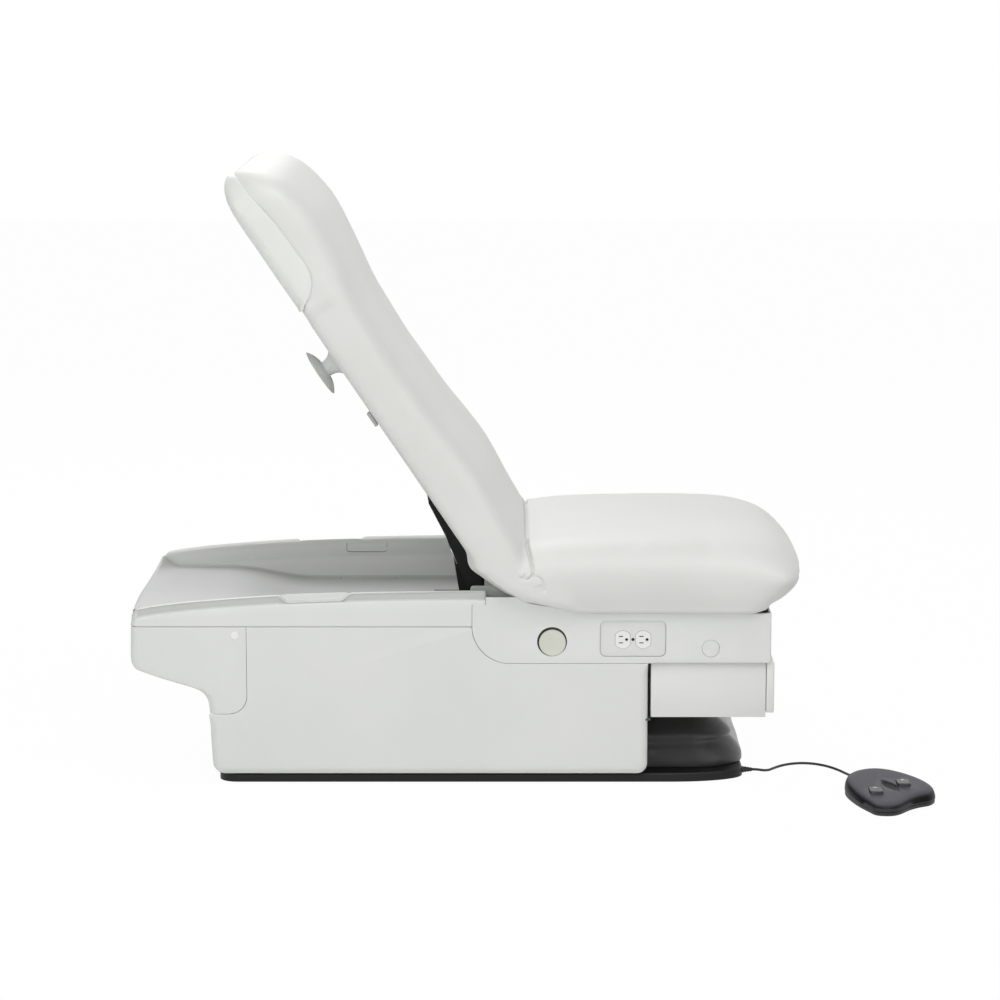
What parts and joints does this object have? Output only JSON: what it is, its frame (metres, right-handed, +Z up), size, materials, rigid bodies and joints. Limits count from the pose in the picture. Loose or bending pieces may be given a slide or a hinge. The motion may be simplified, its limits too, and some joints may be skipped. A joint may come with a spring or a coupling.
{
  "type": "power exam chair",
  "caption": "Low power exam chair with padded seat and tilting back on a column lift, a moulded body, a drawer, a leg rest and a foot control on a cord.",
  "frame": {"origin": "point on the floor under the base plate, on the middle plane of the chair", "axes": "+X to the foot end, +Y to the patient's left, +Z up"},
  "size_m": [1.5223, 0.9218, 1.1757],
  "materials": {
    "base_black": "satin black paint",
    "column_alloy": "anodised",
    "frame_steel": "grey paint",
    "pan_black": "matt",
    "boot_rubber": "matt",
    "cover_white": "fine moulded texture",
    "rail_grey": "fine moulded texture",
    "outlet_white": "gloss",
    "plug_cream": "satin",
    "zinc_steel": "zinc plated",
    "bright_steel": "ground",
    "board_wood": "plywood",
    "upholstery": "soft seamless vinyl",
    "head_plastic": "satin",
    "clip_grey": "matt",
    "cover_black": "black cloth",
    "pedal_dark": "satin",
    "cord_black": "matt"
  },
  "bodies": {
    "base": {"base_plate": "base_black", "column_flange": "base_black", "column_base": "column_alloy", "boot": "boot_rubber", "pedal_base": "pedal_dark", "pedal_cover": "pedal_dark", "pedal_relief": "cord_black", "cord": "cord_black", "cord_relief": "cord_black"},
    "column_mid": {"column_middle": "column_alloy"},
    "upper": {"column_top": "column_alloy", "lift_motor": "pan_black", "boot_ring": "base_black", "upper_frame": "frame_steel", "seat_bearers": "frame_steel", "bottom_pan": "pan_black", "side_cover_near": "cover_white", "side_cover_far": "cover_white", "end_cover": "cover_white", "hip_cover_near": "cover_white", "hip_cover_far": "cover_white", "rail_near": "rail_grey", "rail_far": "rail_grey", "tray": "rail_grey", "front_skirt": "cover_white", "outlet_plate": "cover_white", "outlet_box": "zinc_steel", "outlet_receptacle": "outlet_white", "lock_caps": "plug_cream", "trim_caps": "cover_white", "panel_fasteners": "outlet_white", "seat_board": "board_wood", "seat_cushion": "upholstery", "hinge_brackets": "frame_steel", "hinge_pins": "bright_steel", "actuator_housing": "pan_black", "actuator_mount": "frame_steel", "drawer_housing": "rail_grey", "slide_rails": "zinc_steel", "leg_rest_guides": "zinc_steel", "control_box": "pan_black"},
    "back": {"back_frame": "base_black", "back_cover": "cover_black", "cover_brackets": "zinc_steel", "back_board": "cover_white", "back_cushion": "upholstery", "head_shell": "head_plastic", "cleat": "head_plastic", "rear_clip": "clip_grey", "crank_pin": "bright_steel"},
    "rod": {"actuator_rod": "bright_steel"},
    "drawer": {"drawer_runners": "zinc_steel", "drawer_box": "rail_grey", "drawer_front": "cover_white"},
    "leg_rest": {"leg_rest_tray": "zinc_steel", "leg_rest_pad": "upholstery", "leg_rest_front": "cover_white"},
    "button_left": {"pedal_button_left": "pedal_dark"},
    "button_right": {"pedal_button_right": "pedal_dark"}
  },
  "joints": [
    {"name": "lift", "type": "slide", "parent": "base", "child": "upper", "axis": [0, 0, 1], "range_m": [0, 0.483], "deforming": ["boot"]},
    {"name": "column_slide", "type": "slide", "parent": "base", "child": "column_mid", "axis": [0, 0, 1], "range_m": [0, 0.2415]},
    {"name": "back_tilt", "type": "hinge", "parent": "upper", "child": "back", "pos_m": [-0.014, 0, 0.388], "axis": [0, 1, 0], "range_deg": [-56, 24]},
    {"name": "rod_slide", "type": "slide", "parent": "upper", "child": "rod", "axis": [-1, 0, 0], "range_m": [-0.143, 0.0612]},
    {"name": "drawer_slide", "type": "slide", "parent": "upper", "child": "drawer", "axis": [1, 0, 0], "range_m": [0, 0.18]},
    {"name": "leg_rest_slide", "type": "slide", "parent": "upper", "child": "leg_rest", "axis": [1, 0, 0], "range_m": [0, 0.17]},
    {"name": "button_left_press", "type": "slide", "parent": "base", "child": "button_left", "axis": [0, 0, -1], "range_m": [0, 0.003], "stiffness_N_per_m": 900},
    {"name": "button_right_press", "type": "slide", "parent": "base", "child": "button_right", "axis": [0, 0, -1], "range_m": [0, 0.003], "stiffness_N_per_m": 900}
  ],
  "couplings": [
    {"joint": "column_slide", "follows": "lift", "ratio": 0.5},
    {"joint": "rod_slide", "follows": "back_tilt", "m_per_rad": 0.1457}
  ]
}
